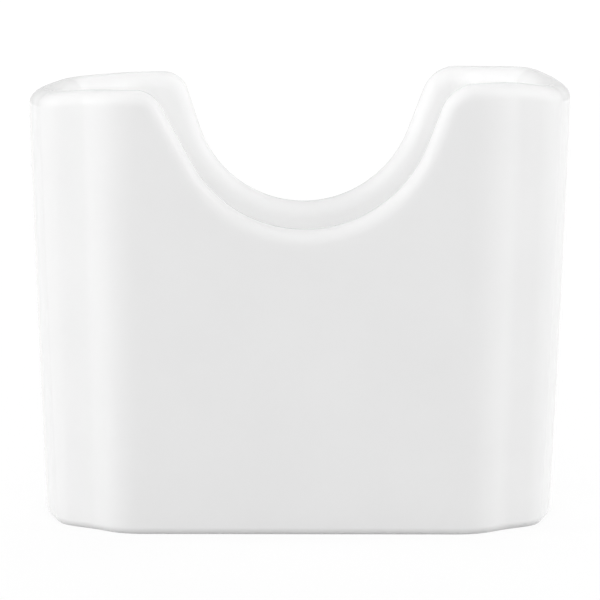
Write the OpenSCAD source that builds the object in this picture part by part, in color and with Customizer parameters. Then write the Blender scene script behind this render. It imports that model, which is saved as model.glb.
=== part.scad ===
// A one-piece porcelain holder for sugar packets, as it leaves the glaze kiln: the fired porcelain itself,
// the coat of glaze over its outside, rim and inside, and the patch of glaze inside its bare foot ring.
// It stands on the table at z = 0 with the origin under its middle. The flat front faces -Y, and +X is right.

/* [Outline] */
// Length over the ends, at the level where the rim starts to round
length = 89; // [82:0.5:110]
// Depth over the flat front and back, at the same level
depth = 54; // [48:0.5:70]
// Height of the rim at the middle of the holder
height = 71.6; // [62:0.1:90]
// Width of the flat front, between its corners
panel_w = 59.5; // [54:0.5:64]
// How far each angled corner runs along the length before its shallow hollow
corner_run = 4.5; // [4:0.1:6]
// How far the angled corner falls back over that run
corner_fall = 4.15; // [3:0.05:5.5]
// Width of each end, between its corners
end_w = 37.2; // [30:0.1:39]
// Angle at which the two halves of an end turn back from straight across
end_turn = 15.5; // [8:0.5:20]
// Share of the end's width that is rounded in the middle, between its two straight parts
end_round_share = 0.65; // [0.3:0.05:0.7]
// Radius where the front turns into the angled corner
corner_r = 12; // [9:0.5:12]
// Radius of the shallow hollow in the angled corner
hollow_r = 8; // [4:0.5:12]
// Radius where the angled corner turns into the end
end_r = 9; // [8.5:0.5:11]

/* [Walls] */
// Thickness of the walls, with their glaze
wall = 5.4; // [4.4:0.1:6]
// Angle at which the walls lean out from the foot
draft = 2.05; // [0:0.05:3]
// How far the walls bow out half way up
belly = 0.1; // [0:0.05:1]
// Radius of the bottom edge on the outside
base_r = 1.5; // [1.2:0.1:4]
// Thickness of the floor, from the hollow underneath to the inside, with its glaze
floor_t = 5; // [3.5:0.1:8]
// Radius where the inside walls meet the floor
floor_r = 5; // [2:0.5:8]

/* [Rim] */
// Radius of the rim on its outer side
rim_r = 2.6; // [2:0.1:3.6]
// How much higher the rim stands at its right end than at its left end
rim_rise = 1.9; // [0:0.1:3]
// How far the rim dips at the front left corner
dip_front_left = 0.4; // [0:0.05:2]
// How far the rim dips at the front right corner
dip_front_right = 0.9; // [0:0.05:2]
// How far the rim lifts at the back left corner
lift_back_left = 0.1; // [0:0.05:2]
// How far the rim lifts at the back right corner
lift_back_right = 1.35; // [0:0.05:2]
// How far the rim sags in the middle of the left end
sag_left = 0.8; // [0:0.05:3]
// How far the rim sags in the middle of the right end
sag_right = 1.8; // [0:0.05:3]

/* [Finger notches] */
// Depth of the front notch below the rim
front_notch_depth = 22.5; // [18:0.1:28]
// Depth of the back notch below the rim
back_notch_depth = 22.8; // [18:0.1:28]
// Radius of the bottom of the front notch
front_notch_r = 20.4; // [14:0.1:21.5]
// Radius of the bottom of the back notch
back_notch_r = 19.1; // [14:0.1:21.5]
// Angle of the front notch's left side from upright
front_flank_left = 28.3; // [10:0.1:30]
// Angle of the back notch's left side from upright
back_flank_left = 18; // [10:0.1:30]
// Angle of both notches' right side from upright
flank_right = 21; // [10:0.1:26]
// How far the bottom of the front notch sits to the right of the middle
front_notch_shift = 0.85; // [0:0.05:2]
// How far the bottom of the back notch sits to the right of the middle
back_notch_shift = 1.1; // [0:0.05:2]
// Radius of the notches' left shoulders, where they turn into the rim
shoulder_left_r = 4.5; // [4:0.1:6]
// Radius of the notches' right shoulders, where they turn into the rim
shoulder_right_r = 5.9; // [4:0.1:7]

/* [Foot] */
// Width of the bare standing face
foot_w = 3.6; // [2:0.1:5]
// Height of the hollow inside the foot ring, before it is glazed
recess = 1.6; // [1.2:0.1:2.5]
// Radius of the inner edge of the standing face
foot_edge_r = 0.7; // [0.5:0.1:1]

/* [Glaze] */
// Thickness of the glaze
glaze = 0.3; // [0.2:0.05:0.4]
// Angle round the bottom edge at which the coat stops, so that the foot is bare
glaze_stop = 50; // [30:1:55]
// Angle round the foot's inner edge at which the patch underneath starts
patch_start = 60; // [55:1:80]

/* [Hidden] */

// The ends stand this far from the middle of the length
end_x = length / 2;
// Radius of the round in the middle of an end, and the point where its straight parts would meet without it
end_round_r = end_round_share * end_w / 2 / sin(end_turn);
end_tip_x = end_x - end_round_r + end_round_r / cos(end_turn);
end_corner_x = end_tip_x - end_w / 2 * tan(end_turn);
// The inner side of the rim has what its outer side leaves of the wall
rim_inner_r = wall - rim_r;
// Level where the walls give way to the rounding of the rim
shoulder_z = height - rim_r;
// Radius of the bare porcelain under the glazed bottom edge
bare_base_r = base_r - glaze;
// Radius of the hollow's own corner
recess_r = recess - foot_edge_r;
// Level of the glazed floor inside
floor_z = recess - glaze + floor_t;

// Counts of steps round each kind of curve
corner_steps = 4;
hollow_steps = 2;
end_steps = 4;
end_round_steps = 6;
shoulder_steps = 5;
notch_steps = 13;
rim_steps = 4;
inner_steps = 3;
floor_steps = 3;
base_steps = 2;
patch_steps = 2;
wall_steps = 3;

// Points of the outline before its corners are rounded, from the middle of the front past the tip of the end:
// x along the length, y out from the middle of the depth
corners = [
    [0, depth / 2],
    [panel_w / 2, depth / 2],
    [panel_w / 2 + corner_run, depth / 2 - corner_fall],
    [end_corner_x, end_w / 2],
    [end_tip_x, 0],
    [end_corner_x, -end_w / 2]
];
last = len(corners) - 1;
tip = last - 1;

function heading(a, b) = atan2(b.y - a.y, b.x - a.x);
function side_of(i) = heading(corners[i], corners[i + 1]);
// How far the outline turns at a corner, clockwise being positive
function turn(i) = side_of(i - 1) - side_of(i);
// The hollow's radius is limited by what the rounding before it leaves of the side between them
hollow_room = norm(corners[2] - corners[1]) - corner_r * tan(turn(1) / 2);
hollow_limit_r = hollow_room / tan(abs(turn(2)) / 2);
corner_radii = [0, corner_r, min(hollow_r, hollow_limit_r), end_r, end_round_r, 0];
corner_counts = [0, corner_steps, hollow_steps, end_steps, end_round_steps, 0];
// How much of each side the rounding of a corner takes
function cut(i) = i == 0 || i == last ? 0 : corner_radii[i] * tan(abs(turn(i)) / 2);
function run(i) = norm(corners[i + 1] - corners[i]) - cut(i) - cut(i + 1);
function arc_length(i) = i == 0 || i == last ? 0 : corner_radii[i] * abs(turn(i)) * PI / 180;
// Distance along the rounded outline at which the rounding of a corner starts
function starts(i) = i == 0 ? 0 : starts(i - 1) + arc_length(i - 1) + run(i - 1);

// Place and outward direction on a quarter of the outline, at a distance from the middle of the front
function on_corner(i, along) =
    let (
        way = sign(turn(i)),
        before = side_of(i - 1),
        first = corners[i] - cut(i) * [cos(before), sin(before)],
        centre = first + way * corner_radii[i] * [sin(before), -cos(before)],
        now = before - turn(i) * along / arc_length(i)
    )
    [centre - way * corner_radii[i] * [sin(now), -cos(now)], [-sin(now), cos(now)]];
function on_side(i, along) =
    let (a = side_of(i))
    [corners[i] + (cut(i) + along) * [cos(a), sin(a)], [-sin(a), cos(a)]];
function on_quarter(u, i = 0) =
    i < tip && u > starts(i + 1) ? on_quarter(u, i + 1)
    : i > 0 && u < starts(i) + arc_length(i) ? on_corner(i, u - starts(i))
    : on_side(i, u - starts(i) - arc_length(i));
// The same for the front (face -1) or the back (face 1), at a signed distance from the face's middle
function on_outline(u, face) =
    let (
        q = on_quarter(abs(u)),
        s = u < 0 ? -1 : 1
    )
    [[s * q[0].x, face * q[0].y], [s * q[1].x, face * q[1].y]];

// The notch in the wall's own plane, for the front (face -1) or the back (face 1): how far from its middle a
// side would meet the rim, and where the rounding of each shoulder starts on the rim
function notch_depth(face) = face < 0 ? front_notch_depth : back_notch_depth;
function notch_r(face) = face < 0 ? front_notch_r : back_notch_r;
function notch_shift(face) = face < 0 ? front_notch_shift : back_notch_shift;
function flank_left(face) = face < 0 ? front_flank_left : back_flank_left;
function notch_centre_z(face) = height - notch_depth(face) + notch_r(face);
function notch_reach(face, flank) =
    notch_r(face) * cos(flank) + (notch_r(face) * sin(flank) + height - notch_centre_z(face)) * tan(flank);
function shoulder_cut(r, flank) = r * tan((90 - flank) / 2);
function left_start(face) =
    let (flank = flank_left(face))
    notch_shift(face) - notch_reach(face, flank) - shoulder_cut(shoulder_left_r, flank);
function right_start(face) =
    notch_shift(face) + notch_reach(face, flank_right) + shoulder_cut(shoulder_right_r, flank_right);

// Stations round the top edge. Each is a place along the outline, a height, the direction across the edge in
// the wall's own plane, along the outline and up, and the place along the outline of its column's foot.
function level_station(u) = [u, height, 0, 1, u];
function shoulder_point(side, start, r, a) =
    [start - side * r * sin(a), height - r + r * cos(a), -side * sin(a), cos(a)];
function bottom_point(face, a) =
    [notch_shift(face) + notch_r(face) * sin(a), notch_centre_z(face) - notch_r(face) * cos(a), -sin(a), cos(a)];
function notch_points(face) =
    let (
        left_turn = 90 - flank_left(face),
        right_turn = 90 - flank_right
    )
    concat(
        [for (i = [0 : shoulder_steps])
            shoulder_point(-1, left_start(face), shoulder_left_r, left_turn * i / shoulder_steps)],
        [for (i = [0 : notch_steps])
            bottom_point(face, -left_turn + (left_turn + right_turn) * i / notch_steps)],
        [for (i = [shoulder_steps : -1 : 0])
            shoulder_point(1, right_start(face), shoulder_right_r, right_turn * i / shoulder_steps)]
    );
// The columns of a notch are spread evenly at the foot
function notch_stations(face) =
    let (
        points = notch_points(face),
        from = left_start(face),
        to = right_start(face)
    )
    [for (i = [0 : len(points) - 1]) concat(points[i], from + (to - from) * i / (len(points) - 1))];
// Places of the level stations from the panel's corner to the middle of the end, halfway round the tip
function corner_places(i) =
    [for (k = [0 : corner_counts[i]]) starts(i) + arc_length(i) * k / corner_counts[i]];
tip_places = corner_places(tip);
end_places = concat(
    corner_places(2),
    corner_places(3),
    [for (k = [0 : end_round_steps / 2]) tip_places[k]]
);
panel_places = corner_places(1);
// The panel's places that are far enough beyond the start of a shoulder to take a column of their own
function past(start) = concat([for (u = panel_places) if (u > start + rim_r / 3) u], end_places);
function reversed(list) = [for (i = [len(list) - 1 : -1 : 0]) list[i]];
// Stations of one face, from the middle of the left end to the middle of the right end
function face_stations(face) = concat(
    [for (u = reversed(past(-left_start(face)))) level_station(-u)],
    notch_stations(face),
    [for (u = past(right_start(face))) level_station(u)]
);
front_stations = face_stations(-1);
back_stations = face_stations(1);
function station(face, i) = face < 0 ? front_stations[i] : back_stations[i];

// How far the walls stand in from the outline at a level
function lean(z) = (shoulder_z - z) * tan(draft) - belly * sin(180 * z / shoulder_z);
// How far the rim stands off its sloping plane over a place on the plan: the corners' own dips and lifts, and
// the ends' sag, all of which set in smoothly from the end of the flat front
function off_plane(x, y) =
    let (
        out_share = max(0, min(1, (abs(x) - panel_w / 2) / (end_x - panel_w / 2))),
        ease_share = pow(sin(90 * out_share), 2),
        back_share = (y + depth / 2) / depth,
        dip = x < 0 ? dip_front_left : dip_front_right,
        lift = x < 0 ? lift_back_left : lift_back_right,
        sag = (x < 0 ? sag_left : sag_right) * cos(180 * y / depth)
    )
    ease_share * ((lift + dip) * back_share - dip - sag);
function lifted(p) = [p.x, p.y, p.z + p.z / height * (rim_rise * p.x / length + off_plane(p.x, p.y))];

// A point at a place along a face, a level, and a depth below the surface
function in_wall(face, u, z, w) =
    let (
        q = on_outline(u, face),
        p = q[0] - q[1] * (lean(z) + w)
    )
    [p.x, p.y, z];
// A point by the edge of station i: across is measured beyond the edge, w is the depth below the surface
function by_edge(face, i, across, w) =
    let (s = station(face, i))
    in_wall(face, s[0] + s[2] * across, s[1] + s[3] * across, w);
// A point between a place by the edge and a level near the foot, by a share of the way down
function down_wall(face, i, across, low, w, share) =
    let (
        s = station(face, i),
        u = s[0] + s[2] * across,
        z = s[1] + s[3] * across
    )
    in_wall(face, u + (s[4] - u) * share, z + (low - z) * share, w);
// A point near the foot or the floor, drawn in evenly towards the middle from the surface at that level
function drawn_in(face, i, z, w, inwards) =
    let (
        p = in_wall(face, station(face, i)[4], z, w),
        half_x = end_x - lean(z) - w,
        half_y = depth / 2 - lean(z) - w
    )
    [p.x * (1 - inwards / half_x), p.y * (1 - inwards / half_y)];
function at_level(p, z) = [p.x, p.y, z];

// Rows of the glazed surface for station i, lying g below it, from where the coat stops on the bottom edge,
// up the outside, over the rim and down the inside to the edge of the flat floor
function base_point(face, i, g, a) =
    in_wall(face, station(face, i)[4], bare_base_r - (base_r - g) * sin(a), base_r - (base_r - g) * cos(a));
function coat_column(face, i, g) = concat(
    [for (k = [base_steps : -1 : 1]) base_point(face, i, g, glaze_stop * k / base_steps)],
    [for (k = [wall_steps : -1 : 1]) down_wall(face, i, -rim_r, bare_base_r, g, k / wall_steps)],
    [for (k = [0 : rim_steps - 1])
        let (a = 90 * k / rim_steps)
        by_edge(face, i, (rim_r - g) * sin(a) - rim_r, rim_r - (rim_r - g) * cos(a))],
    [for (k = [inner_steps : -1 : 0])
        let (a = 90 * k / inner_steps)
        by_edge(face, i, (rim_inner_r - g) * sin(a) - rim_inner_r, rim_r + (rim_inner_r - g) * cos(a))],
    [for (k = [1 : wall_steps])
        down_wall(face, i, -rim_inner_r, floor_z + floor_r, wall - g, k / wall_steps)],
    [for (k = [1 : floor_steps])
        let (a = 90 * k / floor_steps)
        at_level(drawn_in(face, i, floor_z + floor_r, wall - g, (floor_r + g) * (1 - cos(a))),
            floor_z + floor_r - (floor_r + g) * sin(a))]
);
// Rows underneath for station i: first the bare bottom edge and standing face, then the hollow
function bare_column(face, i) = concat(
    [for (k = [1 : base_steps])
        base_point(face, i, glaze, glaze_stop + (90 - glaze_stop) * k / base_steps)],
    [for (k = [0 : patch_steps - 1])
        let (a = patch_start * k / patch_steps)
        at_level(drawn_in(face, i, 0, base_r, foot_w + foot_edge_r * sin(a)), foot_edge_r * (1 - cos(a)))]
);
function patch_column(face, i, g) = concat(
    [for (k = [0 : patch_steps])
        let (a = patch_start + (90 - patch_start) * k / patch_steps)
        at_level(drawn_in(face, i, 0, base_r, foot_w + (foot_edge_r + glaze - g) * sin(a)),
            foot_edge_r - (foot_edge_r + glaze - g) * cos(a))],
    [for (k = [1 : patch_steps])
        let (a = 90 * k / patch_steps)
        at_level(drawn_in(face, i, 0, base_r,
            foot_w + foot_edge_r + recess_r - (recess_r - glaze + g) * cos(a)),
            foot_edge_r + (recess_r - glaze + g) * sin(a))]
);

// All columns round the holder, anticlockwise seen from above: the front from left to right, then the back
// without the two columns in the middle of the ends, which the front already has
function round_columns(kind, g) = concat(
    [for (i = [0 : len(front_stations) - 1]) column(kind, -1, i, g)],
    [for (i = [len(back_stations) - 2 : -1 : 1]) column(kind, 1, i, g)]
);
function column(kind, face, i, g) =
    let (
        points = kind == "coat" ? coat_column(face, i, g)
            : kind == "bare" ? bare_column(face, i)
            : patch_column(face, i, g)
    )
    [for (p = points) lifted(p)];

// Faces of a sheet of columns that closes round on itself, from the index of its first point
function sheet_faces(columns, first, flip) =
    let (
        n = len(columns),
        m = len(columns[0])
    )
    [for (i = [0 : n - 1], k = [0 : m - 2])
        let (
            a = first + i * m + k,
            b = first + (i + 1) % n * m + k,
            quads = [[a, b + 1, a + 1], [a, b, b + 1]]
        )
        for (t = quads) flip ? reversed(t) : t];
// A fan that closes the end of a sheet to one point
function fan_faces(columns, first, peak, flip) =
    let (
        n = len(columns),
        m = len(columns[0])
    )
    [for (i = [0 : n - 1])
        let (t = [first + i * m + m - 1, first + (i + 1) % n * m + m - 1, peak])
        flip ? reversed(t) : t];
// A band between the first rows of two sheets
function band_faces(columns, first, m_first, second, m_second, flip) =
    let (n = len(columns))
    [for (i = [0 : n - 1])
        let (
            j = (i + 1) % n,
            a = first + i * m_first,
            b = first + j * m_first,
            c = second + i * m_second,
            d = second + j * m_second,
            quads = [[c, b, a], [c, d, b]]
        )
        for (t = quads) flip ? reversed(t) : t];
function flat(lists) = [for (l = lists, p = l) p];
// The point over the origin that closes a flat row, at the level of that row
function middle(z) = [0, 0, z];

// A layer of glaze between a surface and the porcelain below it, with its edge closed
module layer(kind, mid_out, mid_in, flip) {
    outer = round_columns(kind, 0);
    inner = round_columns(kind, glaze);
    n_outer = len(outer) * len(outer[0]);
    n_inner = len(inner) * len(inner[0]);
    m = len(outer[0]);
    tip_out = n_outer + n_inner;
    polyhedron(
        points = concat(flat(outer), flat(inner), [middle(mid_out), middle(mid_in)]),
        faces = concat(
            sheet_faces(outer, 0, flip),
            fan_faces(outer, 0, tip_out, flip),
            sheet_faces(inner, n_outer, !flip),
            fan_faces(inner, n_outer, tip_out + 1, !flip),
            band_faces(outer, 0, m, n_outer, m, flip)
        )
    );
}

module glaze_coat() {
    color("white")
    layer("coat", floor_z, floor_z - glaze, true);
}

module underside_glaze() {
    color("whitesmoke")
    layer("patch", recess - glaze, recess, false);
}

// The porcelain: the glazed surface less the glaze, and the bare foot and the hollow under it
module porcelain_body() {
    coat = round_columns("coat", glaze);
    bare = round_columns("bare", 0);
    patch = round_columns("patch", glaze);
    under = [for (i = [0 : len(coat) - 1]) concat([coat[i][0]], bare[i], patch[i])];
    n_coat = len(coat) * len(coat[0]);
    m = len(coat[0]);
    m_under = len(under[0]);
    under_points = [for (c = under) for (k = [1 : m_under - 1]) c[k]];
    // The underneath shares the coat's first row, so its own rows follow on from that row
    function under_index(i, k) =
        k == 0 ? i % len(coat) * m : n_coat + i % len(coat) * (m_under - 1) + k - 1;
    floor_tip = n_coat + len(under_points);
    color("seashell")
    polyhedron(
        points = concat(flat(coat), under_points, [middle(floor_z - glaze), middle(recess)]),
        faces = concat(
            sheet_faces(coat, 0, true),
            fan_faces(coat, 0, floor_tip, true),
            [for (i = [0 : len(coat) - 1], k = [0 : m_under - 2])
                let (
                    a = under_index(i, k),
                    b = under_index(i + 1, k),
                    c = under_index(i, k + 1),
                    d = under_index(i + 1, k + 1),
                    quads = [[a, d, c], [a, b, d]]
                )
                for (t = quads) t],
            [for (i = [0 : len(coat) - 1])
                [under_index(i, m_under - 1), under_index(i + 1, m_under - 1), floor_tip + 1]]
        )
    );
}

porcelain_body();
glaze_coat();
underside_glaze();
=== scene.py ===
"""Finish and studio of a one-piece porcelain holder for sugar packets: its glaze, its bare foot, its
lights and the camera. Lengths are in metres."""

import math

import bpy
import numpy as np
from mathutils import Matrix, Vector


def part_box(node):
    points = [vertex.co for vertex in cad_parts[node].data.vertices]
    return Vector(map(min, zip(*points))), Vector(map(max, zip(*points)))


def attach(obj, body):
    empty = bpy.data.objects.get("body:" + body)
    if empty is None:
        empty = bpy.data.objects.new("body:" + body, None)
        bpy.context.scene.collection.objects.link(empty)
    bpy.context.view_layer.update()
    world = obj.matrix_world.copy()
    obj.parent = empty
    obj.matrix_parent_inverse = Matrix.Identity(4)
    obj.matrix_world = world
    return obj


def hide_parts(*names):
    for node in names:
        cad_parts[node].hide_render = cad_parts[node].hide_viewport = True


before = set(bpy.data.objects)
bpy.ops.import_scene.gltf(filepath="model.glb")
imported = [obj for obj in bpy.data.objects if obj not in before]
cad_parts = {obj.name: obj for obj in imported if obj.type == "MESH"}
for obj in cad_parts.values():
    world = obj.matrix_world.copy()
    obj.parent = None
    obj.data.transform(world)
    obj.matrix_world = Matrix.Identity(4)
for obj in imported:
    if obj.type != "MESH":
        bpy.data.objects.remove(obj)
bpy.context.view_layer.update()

# Outline seen from above, where the rim starts to round
coat_low, coat_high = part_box("glaze_coat")
length = coat_high.x - coat_low.x
depth = 2 * coat_high.y
panel_width = 0.0595
corner_run = 0.0045
corner_fall = 0.00415
end_width = 0.0372
end_turn = math.radians(15.5)
end_round_share = 0.65
corner_radius = 0.012
hollow_radius = 0.008
end_radius = 0.009

# Walls, floor and foot
height = 0.0716
wall = 0.0054
draft = math.radians(2.05)
belly = 0.0001
floor_thickness = 0.005
floor_radius = 0.005
base_radius = 0.0015
foot_width = 0.0036
foot_edge_radius = 0.0007
recess = 0.0016

# Glaze, and the angles round the bottom edges at which it stops
glaze = 0.0003
coat_stop = math.radians(50)
patch_start = math.radians(60)

# Rim, with its uneven height
rim_radius = 0.0026
rim_rise = 0.0019
dip_front_left = 0.0004
dip_front_right = 0.0009
lift_back_left = 0.0001
lift_back_right = 0.00135
sag_left = 0.0008
sag_right = 0.0018

# Finger notches
front_notch_depth = 0.0225
back_notch_depth = 0.0228
front_notch_radius = 0.0204
back_notch_radius = 0.0191
front_flank_left = math.radians(28.3)
back_flank_left = math.radians(18)
flank_right = math.radians(21)
front_notch_shift = 0.00085
back_notch_shift = 0.0011
left_shoulder_radius = 0.0045
right_shoulder_radius = 0.0059

# Values that follow from these
end_x = length / 2
end_round_radius = end_round_share * end_width / 2 / math.sin(end_turn)
end_tip_x = end_x - end_round_radius + end_round_radius / math.cos(end_turn)
end_corner_x = end_tip_x - end_width / 2 * math.tan(end_turn)
inner_rim_radius = wall - rim_radius
rim_level = height - rim_radius
floor_level = recess - glaze + floor_thickness
bare_base_radius = base_radius - glaze
recess_radius = recess - foot_edge_radius

# How finely the surfaces are divided: the columns of a face, and the rows of each stretch of a surface
face_columns = 250
bottom_edge_rows = 10
outside_rows = 30
outer_rim_rows = 14
inner_rim_rows = 12
inside_rows = 20
fillet_rows = 12
bare_edge_rows = 8
standing_face_rows = 4
foot_edge_rows = 6
patch_edge_rows = 4
recess_rows = 8
flat_rows = 6
hidden_row_step = 2

# Camera, at the photograph's viewing angle
picture_width = 600
focal_pixels = 3079
camera_distance = 0.5117
pitch, yaw, roll = math.radians(7.63), math.radians(0.51), math.radians(0.207)
aim = Vector((0.00013, 0, 0.03462))

# Lamps
box_size = 2
gleam_size = 0.9
lamp_distance = 2.5

# The two long faces, by the side of the middle on which they stand
FRONT, BACK = -1, 1


class RoundedPath:
    """A line through corner points, each rounded by an arc. A place on it is the sum of what has been
    covered of each straight side and of each arc, so a whole array of distances is worked out at once."""

    def __init__(self, points, radii):
        sides = np.diff(np.array(points, float), axis=0)
        self.start = np.array(points[0], float)
        self.headings = np.arctan2(sides[:, 1], sides[:, 0])
        self.turns = self.headings[:-1] - self.headings[1:]
        self.radii = np.array(radii, float)
        cuts = self.radii * np.tan(np.abs(self.turns) / 2)
        self.arcs = self.radii * np.abs(self.turns)
        self.runs = np.hypot(*sides.T) - np.r_[0, cuts] - np.r_[cuts, 0]
        before = np.r_[0, np.cumsum(self.runs[:-1] + self.arcs)]
        self.run_starts = before
        self.arc_starts = before[:-1] + self.runs[:-1]
        self.length = self.runs.sum() + self.arcs.sum()

    def at(self, distance):
        """Places and headings at distances along the path."""
        far = np.asarray(distance, float)[..., None]
        covered = np.clip(far - self.run_starts, 0, self.runs)
        share = np.clip((far - self.arc_starts) / self.arcs, 0, 1)
        first = self.headings[:-1]
        now = first - self.turns * share
        bend = np.sign(self.turns) * self.radii
        x = (covered * np.cos(self.headings)).sum(-1) + (bend * (np.sin(first) - np.sin(now))).sum(-1)
        y = (covered * np.sin(self.headings)).sum(-1) + (bend * (np.cos(now) - np.cos(first))).sum(-1)
        turned = self.headings[0] - (self.turns * share).sum(-1)
        return self.start + np.stack([x, y], -1), turned


# From the middle of the front to the middle of the end, which is halfway round the path's last arc
quarter = RoundedPath(
    [(0, depth / 2),
     (panel_width / 2, depth / 2),
     (panel_width / 2 + corner_run, depth / 2 - corner_fall),
     (end_corner_x, end_width / 2),
     (end_tip_x, 0),
     (end_corner_x, -end_width / 2)],
    [corner_radius, hollow_radius, end_radius, end_round_radius])
quarter_length = quarter.arc_starts[-1] + quarter.arcs[-1] / 2


def on_outline(along, side):
    """Place and outward direction on the outline of one face, at signed distances from its middle."""
    place, way = quarter.at(np.abs(along))
    mirror = np.stack([np.where(along < 0, -1.0, 1.0), np.full(np.shape(along), float(side))], -1)
    outward = np.stack([-np.sin(way), np.cos(way)], -1)
    return place * mirror, outward * mirror


def lean(level):
    """How far the walls stand in from the outline: their draft, less a slight outward bow half way up."""
    return (rim_level - level) * math.tan(draft) - belly * np.sin(math.pi * level / rim_level)


def lifted(points):
    """Adds the rim's unevenness in proportion to the height: a steady rise to the right, and the dips and
    lifts of the corners and the sag of the ends, which set in smoothly from the end of the flat front."""
    x, y, z = np.moveaxis(points, -1, 0)
    out_share = np.clip((np.abs(x) - panel_width / 2) / (end_x - panel_width / 2), 0, 1)
    ease_share = np.sin(math.pi / 2 * out_share) ** 2
    back_share = (y + depth / 2) / depth
    dip = np.where(x < 0, dip_front_left, dip_front_right)
    lift = np.where(x < 0, lift_back_left, lift_back_right)
    sag = np.where(x < 0, sag_left, sag_right) * np.cos(math.pi * y / depth)
    off_plane = ease_share * ((lift + dip) * back_share - dip - sag)
    return np.stack([x, y, z + z / height * (rim_rise * x / length + off_plane)], -1)


def notched_edge(notch_depth, notch_radius, flank_left, notch_shift):
    """The top edge of a face in its wall's own plane, along the outline and up. It is level, with a notch
    whose straight sides run into a round bottom and whose shoulders are rounded."""

    def reach(flank):
        """Distance from the notch's middle to where a side that leans so much meets the level edge."""
        straight = notch_radius * math.sin(flank) + notch_depth - notch_radius
        return notch_radius * math.cos(flank) + straight * math.tan(flank)

    left = notch_shift - reach(flank_left)
    right = notch_shift + reach(flank_right)
    sides_meet = (right - left) / (math.tan(flank_left) + math.tan(flank_right))
    return RoundedPath(
        [(-quarter_length, height),
         (left, height),
         (left + sides_meet * math.tan(flank_left), height - sides_meet),
         (right, height),
         (quarter_length, height)],
        [left_shoulder_radius, notch_radius, right_shoulder_radius])


top_edges = {
    FRONT: notched_edge(front_notch_depth, front_notch_radius, front_flank_left, front_notch_shift),
    BACK: notched_edge(back_notch_depth, back_notch_radius, back_flank_left, back_notch_shift)}


class Face:
    """The columns of one face. Each has a place on the top edge, the direction across that edge, and the
    place at the foot to which it runs down, which is spread evenly under the notch."""

    def __init__(self, side):
        self.side = side
        edge = top_edges[side]
        distance = np.linspace(0, edge.length, face_columns)
        place, way = edge.at(distance)
        self.along, self.up = place.T
        self.across = np.stack([-np.sin(way), np.cos(way)])
        notch_from = edge.arc_starts[0]
        notch_to = edge.arc_starts[-1] + edge.arcs[-1]
        ends = edge.at(np.array([notch_from, notch_to]))[0][:, 0]
        in_notch = (distance > notch_from) & (distance < notch_to)
        self.foot = np.where(in_notch, np.interp(distance, [notch_from, notch_to], ends), self.along)

    def in_wall(self, along, level, below):
        """Wall points: places on the outline, drawn in by their depth and the lean at their level."""
        along, level, below = np.broadcast_arrays(along, level, below)
        place, outward = on_outline(along, self.side)
        plan = place - outward * (lean(level) + below)[..., None]
        return np.concatenate([plan, level[..., None]], -1)

    def by_edge(self, beyond, below):
        """Points near the top edge, beyond it within the wall's plane and below the wall's surface."""
        return self.in_wall(self.along + self.across[0] * beyond, self.up + self.across[1] * beyond, below)

    def down_wall(self, beyond, low, below, share):
        """Points on the way down from the edge to a level near the foot, by a share of that way."""
        along = self.along + self.across[0] * beyond
        level = self.up + self.across[1] * beyond
        return self.in_wall(along + (self.foot - along) * share, level + (low - level) * share, below)

    def drawn_in(self, from_level, below, inwards, level):
        """Points of the floor or foot, drawn in towards the middle from the wall at one level. They move in
        proportion, so that the middle of each side moves inwards by just the distance given."""
        start = self.in_wall(self.foot, from_level, below)
        half = np.array([end_x, depth / 2]) - lean(from_level) - below
        plan = start[..., :2] * (1 - np.asarray(inwards)[..., None] / half)
        return np.concatenate([plan, np.broadcast_to(level, plan.shape[:-1])[..., None]], -1)


def steps(first, last, count, closed=False):
    """An even column of values from first to last. The last is left out unless the stretch is closed."""
    return np.linspace(first, last, count + 1)[:count + closed, None]


def coat_rows(face, sunk):
    """The glazed surface at a depth below its outside. It runs from where the coat stops on the bottom
    edge, up the outside, over the rim on two quarter arcs, down the inside, and round the floor's fillet to
    the edge of the flat floor."""
    stop = steps(coat_stop, 0, bottom_edge_rows)
    up = steps(1, 0, outside_rows)
    outer = steps(0, math.pi / 2, outer_rim_rows)
    inner = steps(math.pi / 2, 0, inner_rim_rows)
    down = steps(0, 1, inside_rows)
    fillet = steps(0, math.pi / 2, fillet_rows, closed=True)
    bottom_arc = base_radius - sunk
    outer_arc = rim_radius - sunk
    inner_arc = inner_rim_radius - sunk
    fillet_arc = floor_radius + sunk
    fillet_top = floor_level + floor_radius
    return np.concatenate([
        face.in_wall(face.foot, bare_base_radius - bottom_arc * np.sin(stop),
                     base_radius - bottom_arc * np.cos(stop)),
        face.down_wall(-rim_radius, bare_base_radius, sunk, up),
        face.by_edge(outer_arc * np.sin(outer) - rim_radius, rim_radius - outer_arc * np.cos(outer)),
        face.by_edge(inner_arc * np.sin(inner) - inner_rim_radius, rim_radius + inner_arc * np.cos(inner)),
        face.down_wall(-inner_rim_radius, fillet_top, wall - sunk, down),
        face.drawn_in(fillet_top, wall - sunk, fillet_arc * (1 - np.cos(fillet)),
                      fillet_top - fillet_arc * np.sin(fillet)),
    ])


def bare_rows(face, sunk):
    """The bare bottom edge, the standing face and its rounded inner edge, as far as the patch. The first
    row is left out, because the coat's surface starts with it."""
    edge = steps(coat_stop, math.pi / 2, bare_edge_rows)[1:]
    ring = steps(0, foot_width, standing_face_rows)
    turn = steps(0, patch_start, foot_edge_rows)
    bottom_arc = base_radius - sunk
    return np.concatenate([
        face.in_wall(face.foot, bare_base_radius - bottom_arc * np.sin(edge),
                     base_radius - bottom_arc * np.cos(edge)),
        face.drawn_in(0, base_radius, ring, 0),
        face.drawn_in(0, base_radius, foot_width + foot_edge_radius * np.sin(turn),
                      foot_edge_radius * (1 - np.cos(turn))),
    ])


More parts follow.
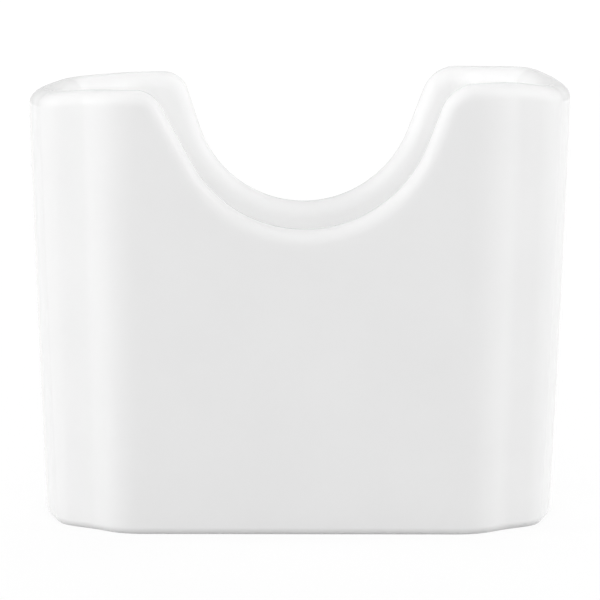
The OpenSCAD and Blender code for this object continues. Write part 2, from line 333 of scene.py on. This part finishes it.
def patch_rows(face, sunk):
    """The patch of glaze at a depth below its outside: the last of the foot's inner edge, then the corner
    of the recess."""
    edge = steps(patch_start, math.pi / 2, patch_edge_rows)
    corner = steps(0, math.pi / 2, recess_rows, closed=True)
    edge_arc = foot_edge_radius + glaze - sunk
    corner_arc = recess_radius - glaze + sunk
    corner_end = foot_width + foot_edge_radius + recess_radius
    return np.concatenate([
        face.drawn_in(0, base_radius, foot_width + edge_arc * np.sin(edge),
                      foot_edge_radius - edge_arc * np.cos(edge)),
        face.drawn_in(0, base_radius, corner_end - corner_arc * np.cos(corner),
                      foot_edge_radius + corner_arc * np.sin(corner)),
    ])


def round_the_holder(rows, sunk):
    """Rows of both faces joined into rings, anticlockwise seen from above."""
    front = rows(Face(FRONT), sunk)
    back = rows(Face(BACK), sunk)[:, ::-1]
    return lifted(np.concatenate([front, back[:, 1:-1]], 1))


def ring_faces(first, second):
    """Quads between two rings of vertex numbers."""
    return np.stack([first, np.roll(first, -1), np.roll(second, -1), second], -1)


def to_middle(points):
    """Adds rings that shrink evenly to a point over the origin, at the level of the last ring."""
    last = points[-1]
    share = np.arange(1, flat_rows)[:, None, None] / flat_rows
    centre = np.array([0, 0, 1]) * last[:, 2:]
    return np.concatenate([points, last + (centre - last) * share])


def closed_piece(name, sheets, material):
    """A closed mesh from two sheets of rings. Each sheet is given with whether its quads face outwards as
    they run or are turned over, and ends in a pole at its middle. A band between the first rings joins the
    two."""
    points, faces, starts, offset = [], [], [], 0
    for sheet, outwards in sheets:
        rows, columns = sheet.shape[:2]
        number = offset + np.arange(rows * columns).reshape(rows, columns)
        pole = offset + rows * columns
        quads = np.concatenate([ring_faces(number[i], number[i + 1]) for i in range(rows - 1)])
        fan = np.stack([number[-1], np.roll(number[-1], -1), np.full(columns, pole)], -1)
        turn = 1 if outwards else -1
        faces += quads[:, ::turn].tolist() + fan[:, ::turn].tolist()
        points += [sheet.reshape(-1, 3), [[0, 0, sheet[-1, :, 2].mean()]]]
        starts.append(number[0])
        offset = pole + 1
    faces += ring_faces(starts[1], starts[0]).tolist()
    mesh = bpy.data.meshes.new(name)
    mesh.from_pydata(np.concatenate(points).tolist(), [], faces)
    mesh.polygons.foreach_set("use_smooth", np.ones(len(faces), bool))
    mesh.materials.append(material)
    mesh.update()
    piece = bpy.data.objects.new(name, mesh)
    bpy.context.scene.collection.objects.link(piece)
    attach(piece, "root")
    return piece


def new_material(name):
    """A node material, its tree and its shader."""
    material = bpy.data.materials.new(name)
    material.use_nodes = True
    tree = material.node_tree
    return material, tree, tree.nodes["Principled BSDF"]


def add_noise(tree, scale, detail):
    """Three-dimensional noise on Object coordinates, with scale in features a metre."""
    place = tree.nodes.new("ShaderNodeTexCoord")
    noise = tree.nodes.new("ShaderNodeTexNoise")
    noise.inputs["Scale"].default_value = scale
    noise.inputs["Detail"].default_value = detail
    tree.links.new(place.outputs["Object"], noise.inputs["Vector"])
    return noise.outputs["Fac"]


def add_range(tree, value, low, high, from_low=0.35, from_high=0.65):
    """Spreads a value over a range. Unless it is told otherwise, it takes the value for noise, which keeps
    near one half."""
    spread = tree.nodes.new("ShaderNodeMapRange")
    spread.inputs["From Min"].default_value = from_low
    spread.inputs["From Max"].default_value = from_high
    spread.inputs["To Min"].default_value = low
    spread.inputs["To Max"].default_value = high
    tree.links.new(value, spread.inputs["Value"])
    return spread.outputs["Result"]


def add_mix(tree, share, first, second):
    """A colour between two others."""
    mix = tree.nodes.new("ShaderNodeMix")
    mix.data_type = "RGBA"
    mix.inputs["A"].default_value = (*first, 1)
    mix.inputs["B"].default_value = (*second, 1)
    tree.links.new(share, mix.inputs["Factor"])
    return mix.outputs["Result"]


def add_bump(tree, height_value, distance, normal=None):
    """Relief of a depth in metres, on top of another normal if one is given."""
    bump = tree.nodes.new("ShaderNodeBump")
    bump.inputs["Strength"].default_value = 1
    bump.inputs["Distance"].default_value = distance
    tree.links.new(height_value, bump.inputs["Height"])
    if normal:
        tree.links.new(normal, bump.inputs["Normal"])
    return bump.outputs["Normal"]


def white_glaze():
    """Glossy white glaze: slow clouds of slightly different white, and ripples that reflections show."""
    material, tree, shader = new_material("white_glaze")
    shader.inputs["IOR"].default_value = 1.5
    clouds = add_range(tree, add_noise(tree, scale=60, detail=3), low=0, high=1)
    white = add_mix(tree, clouds, first=(0.89, 0.89, 0.89), second=(0.905, 0.905, 0.905))
    roughness = add_range(tree, add_noise(tree, scale=35, detail=2), low=0.05, high=0.09)
    ripples = add_bump(tree, add_noise(tree, scale=90, detail=1), distance=0.00002)
    fine_ripples = add_bump(tree, add_noise(tree, scale=900, detail=2), distance=0.0000008, normal=ripples)
    tree.links.new(white, shader.inputs["Base Color"])
    tree.links.new(roughness, shader.inputs["Roughness"])
    tree.links.new(fine_ripples, shader.inputs["Normal"])
    return material


def bare_porcelain():
    """Unglazed porcelain: a fine matt grain with a few darker specks."""
    material, tree, shader = new_material("bare_porcelain")
    shader.inputs["IOR"].default_value = 1.45
    grain = add_range(tree, add_noise(tree, scale=2500, detail=4), low=0, high=1)
    clay = add_mix(tree, grain, first=(0.74, 0.72, 0.68), second=(0.82, 0.80, 0.76))
    roughness = add_range(tree, add_noise(tree, scale=700, detail=2), low=0.65, high=0.85)
    tooth = add_bump(tree, add_noise(tree, scale=4000, detail=3), distance=0.00003)
    tree.links.new(clay, shader.inputs["Base Color"])
    tree.links.new(roughness, shader.inputs["Roughness"])
    tree.links.new(tooth, shader.inputs["Normal"])
    return material


glaze_finish = white_glaze()
porcelain_finish = bare_porcelain()

coat_outside = to_middle(round_the_holder(coat_rows, 0))
coat_inside = to_middle(round_the_holder(coat_rows, glaze))
patch_outside = to_middle(round_the_holder(patch_rows, 0))
patch_inside = to_middle(round_the_holder(patch_rows, glaze))
underneath = np.concatenate([round_the_holder(bare_rows, glaze), patch_inside])

# The glaze's hidden side, which lies on the body, keeps every second row
coat_underside = coat_inside[::hidden_row_step]
glaze_surface = closed_piece("glaze_surface", [(coat_outside, True), (coat_underside, False)], glaze_finish)
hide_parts("glaze_coat")

foot_patch = closed_piece("foot_patch", [(patch_inside, True), (patch_outside, False)], glaze_finish)
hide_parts("underside_glaze")

fired_body = closed_piece("fired_body", [(coat_inside, True), (underneath, False)], porcelain_finish)
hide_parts("porcelain_body")


def white_to_the_eye(tree, output, lit, seen):
    """Joins two shaders: one that lights the scene, and one that the camera and reflections see."""
    path = tree.nodes.new("ShaderNodeLightPath")
    eye = path.outputs["Is Camera Ray"]
    for other in ("Is Glossy Ray", "Is Transmission Ray"):
        either = tree.nodes.new("ShaderNodeMath")
        either.operation = "MAXIMUM"
        tree.links.new(eye, either.inputs[0])
        tree.links.new(path.outputs[other], either.inputs[1])
        eye = either.outputs[0]
    mix = tree.nodes.new("ShaderNodeMixShader")
    tree.links.new(eye, mix.inputs["Fac"])
    tree.links.new(lit, mix.inputs[1])
    tree.links.new(seen, mix.inputs[2])
    tree.links.new(mix.outputs[0], output.inputs["Surface"])


def tree_with_output(owner, output_kind):
    """The node tree of a material or world, with nothing in it but an output."""
    owner.use_nodes = True
    tree = owner.node_tree
    tree.nodes.clear()
    return tree, tree.nodes.new(output_kind)


def add_matt(tree, grey):
    """A plain matt shader."""
    matt = tree.nodes.new("ShaderNodeBsdfDiffuse")
    matt.inputs["Color"].default_value = (grey, grey, grey, 1)
    return matt.outputs[0]


def white_floor(half_side, lit_grey, seen_grey, own_share):
    """A plain white floor that keeps a soft shadow: to the eye most of its white is its own."""
    mesh = bpy.data.meshes.new("floor")
    corners = [(-half_side, -half_side, 0), (half_side, -half_side, 0),
               (half_side, half_side, 0), (-half_side, half_side, 0)]
    mesh.from_pydata(corners, [], [(0, 1, 2, 3)])
    floor = bpy.data.objects.new("floor", mesh)
    bpy.context.scene.collection.objects.link(floor)
    material = bpy.data.materials.new("floor_white")
    tree, output = tree_with_output(material, "ShaderNodeOutputMaterial")
    own = tree.nodes.new("ShaderNodeEmission")
    own.inputs["Strength"].default_value = 1
    seen = tree.nodes.new("ShaderNodeMixShader")
    seen.inputs["Fac"].default_value = own_share
    tree.links.new(add_matt(tree, seen_grey), seen.inputs[1])
    tree.links.new(own.outputs[0], seen.inputs[2])
    white_to_the_eye(tree, output, add_matt(tree, lit_grey), seen.outputs[0])
    mesh.materials.append(material)


def studio_air(strength):
    """The world: an even soft light. What is seen of it is pale at the horizon and greyer above."""
    world = bpy.data.worlds.new("studio")
    tree, output = tree_with_output(world, "ShaderNodeOutputWorld")
    lit = tree.nodes.new("ShaderNodeBackground")
    lit.inputs["Strength"].default_value = strength
    place = tree.nodes.new("ShaderNodeTexCoord")
    level = tree.nodes.new("ShaderNodeSeparateXYZ")
    tree.links.new(place.outputs["Generated"], level.inputs[0])
    shade = add_range(tree, level.outputs["Z"], low=0.85, high=0.5, from_low=0.1, from_high=0.4)
    seen = tree.nodes.new("ShaderNodeBackground")
    tree.links.new(shade, seen.inputs["Strength"])
    white_to_the_eye(tree, output, lit.outputs[0], seen.outputs[0])
    bpy.context.scene.world = world


def soft_box(name, azimuth, elevation, power, size, gleams=False):
    """A square soft lamp that faces the holder, at an azimuth from the front towards the right and an
    elevation, both in degrees. The glaze shows a highlight only of a lamp that gleams."""
    lamp = bpy.data.lights.new(name, "AREA")
    lamp.shape = "SQUARE"
    lamp.size = size
    lamp.energy = power
    box = bpy.data.objects.new(name, lamp)
    turn, rise = math.radians(azimuth), math.radians(elevation)
    way = Vector((math.sin(turn) * math.cos(rise), -math.cos(turn) * math.cos(rise), math.sin(rise)))
    box.location = Vector((0, 0, height / 2)) + way * lamp_distance
    box.rotation_euler = way.to_track_quat("Z", "Y").to_euler()
    box.visible_camera = False
    box.visible_glossy = gleams
    bpy.context.scene.collection.objects.link(box)


def studio_camera():
    """The camera, turned by its yaw, pitch and roll, at its distance from a point in the middle plane."""
    data = bpy.data.cameras.new("camera")
    data.sensor_width = 36
    data.lens = focal_pixels * data.sensor_width / picture_width
    data.clip_start = 0.01
    data.clip_end = 20
    camera = bpy.data.objects.new("camera", data)
    way = Vector((math.sin(yaw) * math.cos(pitch), math.cos(yaw) * math.cos(pitch), -math.sin(pitch)))
    right = way.cross(Vector((0, 0, 1))).normalized()
    up = right.cross(way)
    level_right = right * math.cos(roll) + up * math.sin(roll)
    level_up = up * math.cos(roll) - right * math.sin(roll)
    turn = Matrix((level_right, level_up, -way)).transposed().to_4x4()
    camera.matrix_world = Matrix.Translation(aim - way * camera_distance) @ turn
    bpy.context.scene.collection.objects.link(camera)
    bpy.context.scene.camera = camera


studio_camera()
white_floor(half_side=3, lit_grey=0.45, seen_grey=0.9, own_share=0.88)
studio_air(strength=0.43)
for name, azimuth, elevation, power in (
        ("left_box", -90, 20, 37),
        ("right_box", 90, 20, 26),
        ("right_back_box", 120, 20, 12),
        ("back_box", 180, 20, 38),
        ("front_box", 0, 20, 19),
        ("top_box", 0, 50, 15)):
    soft_box(name, azimuth, elevation, power, box_size)
for name, azimuth, elevation, power in (
        ("left_gleam", -88, 18, 1.6),
        ("front_left_gleam", -59, 26, 1.2),
        ("right_gleam", 75, 30, 1.6),
        ("right_back_gleam", 120, 20, 1.6)):
    soft_box(name, azimuth, elevation, power, gleam_size, gleams=True)

bpy.context.scene.view_settings.view_transform = "Standard"
# In a deep white well light is scattered many times before it comes out
bpy.context.scene.cycles.diffuse_bounces = 12
